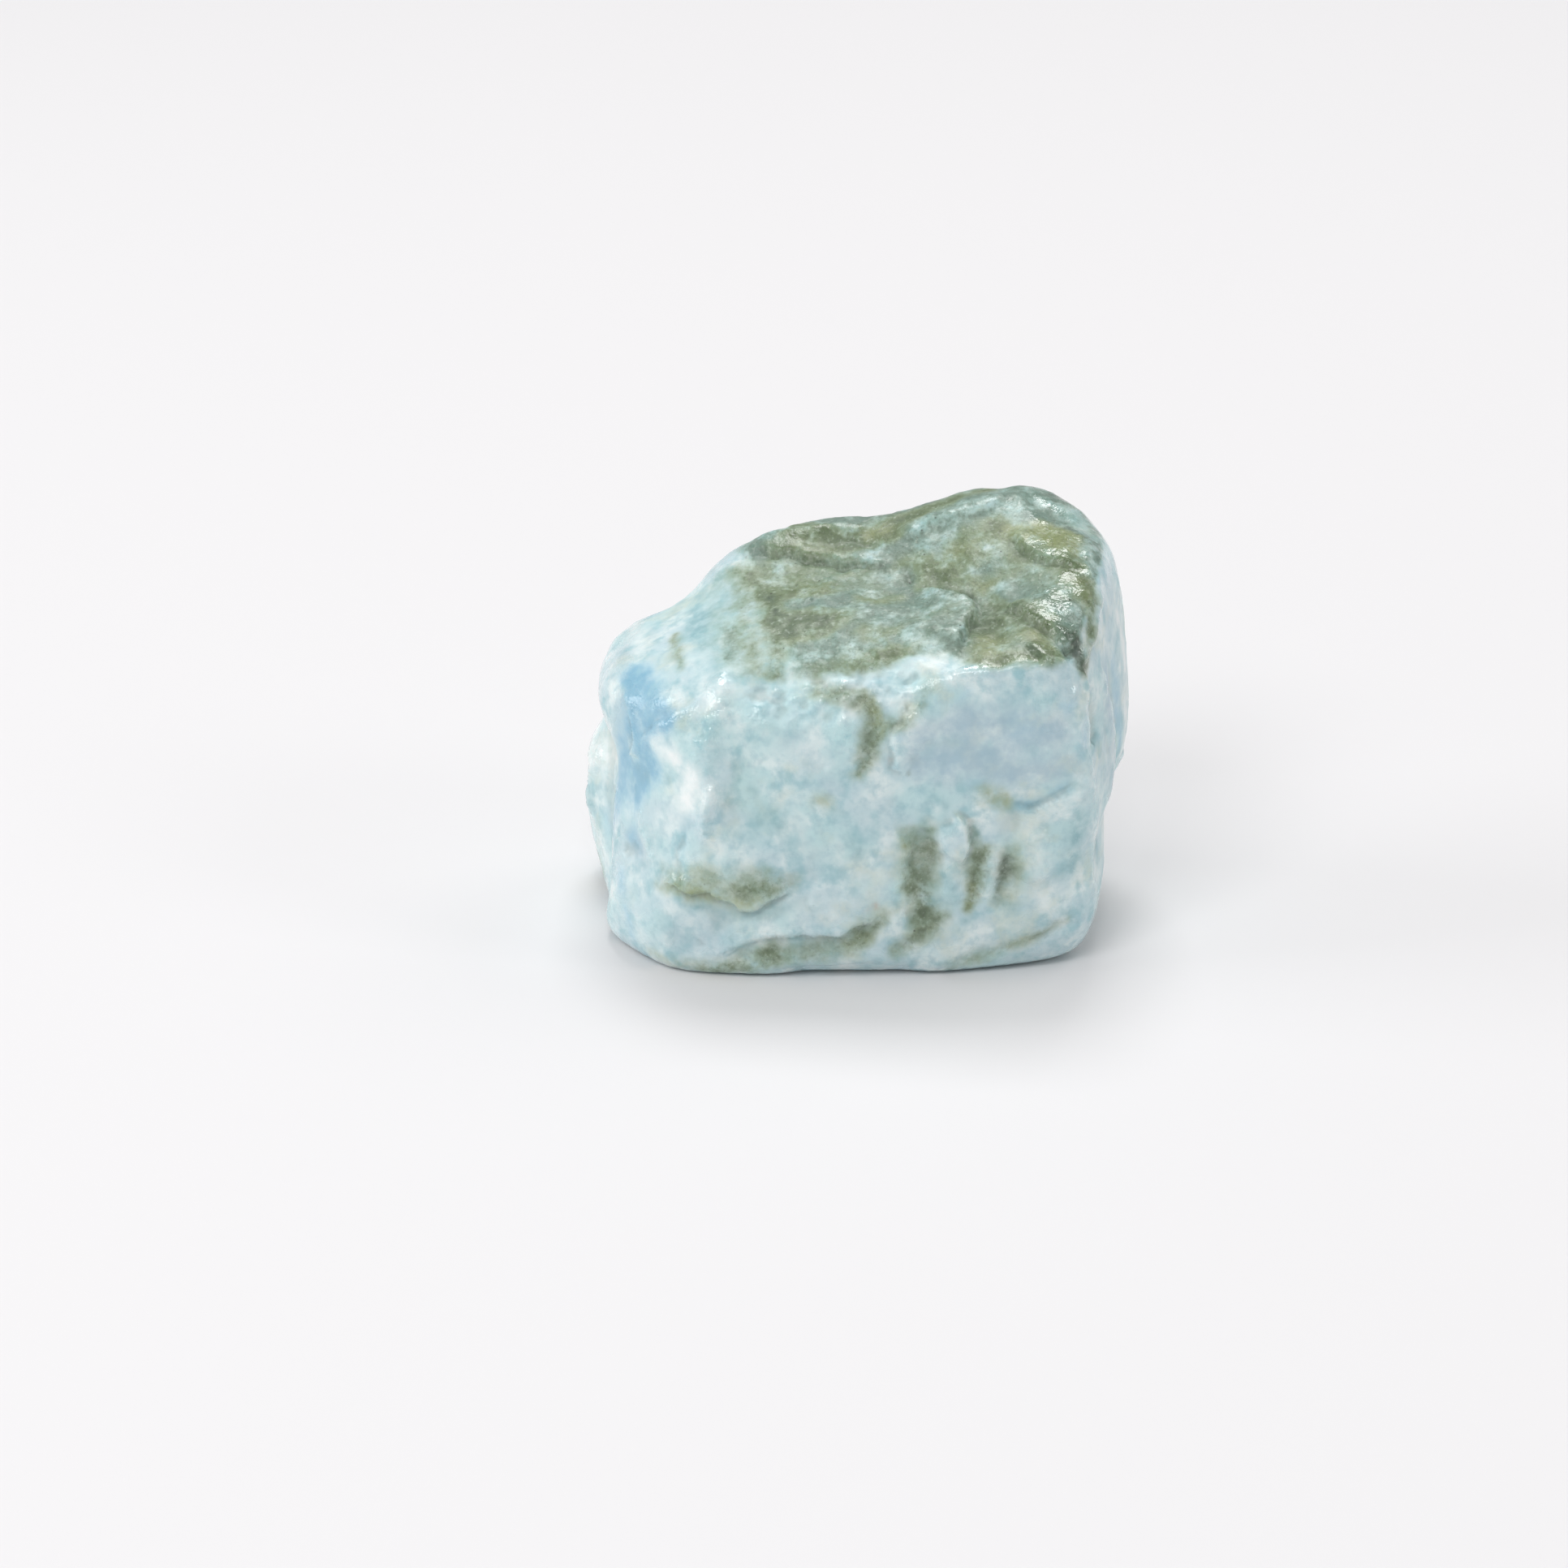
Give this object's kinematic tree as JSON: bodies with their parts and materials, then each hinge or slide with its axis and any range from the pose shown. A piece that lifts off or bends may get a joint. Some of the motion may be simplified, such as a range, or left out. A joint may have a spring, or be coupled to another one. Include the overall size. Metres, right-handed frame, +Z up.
{
  "type": "raw larimar stone",
  "caption": "Single piece of raw larimar with tumble-softened fracture faces, standing on its flat worn base; a natural display or study stone.",
  "frame": {"origin": "under the middle of the stone's bounding box, on the surface it stands on", "axes": "+X along the longest side, to the right of the front face; +Y from the front face to the back; +Z up"},
  "size_m": [0.0302, 0.0192, 0.0225],
  "materials": {
    "larimar": "satin"
  },
  "bodies": {
    "root": {"larimar_stone": "larimar"}
  },
  "joints": []
}
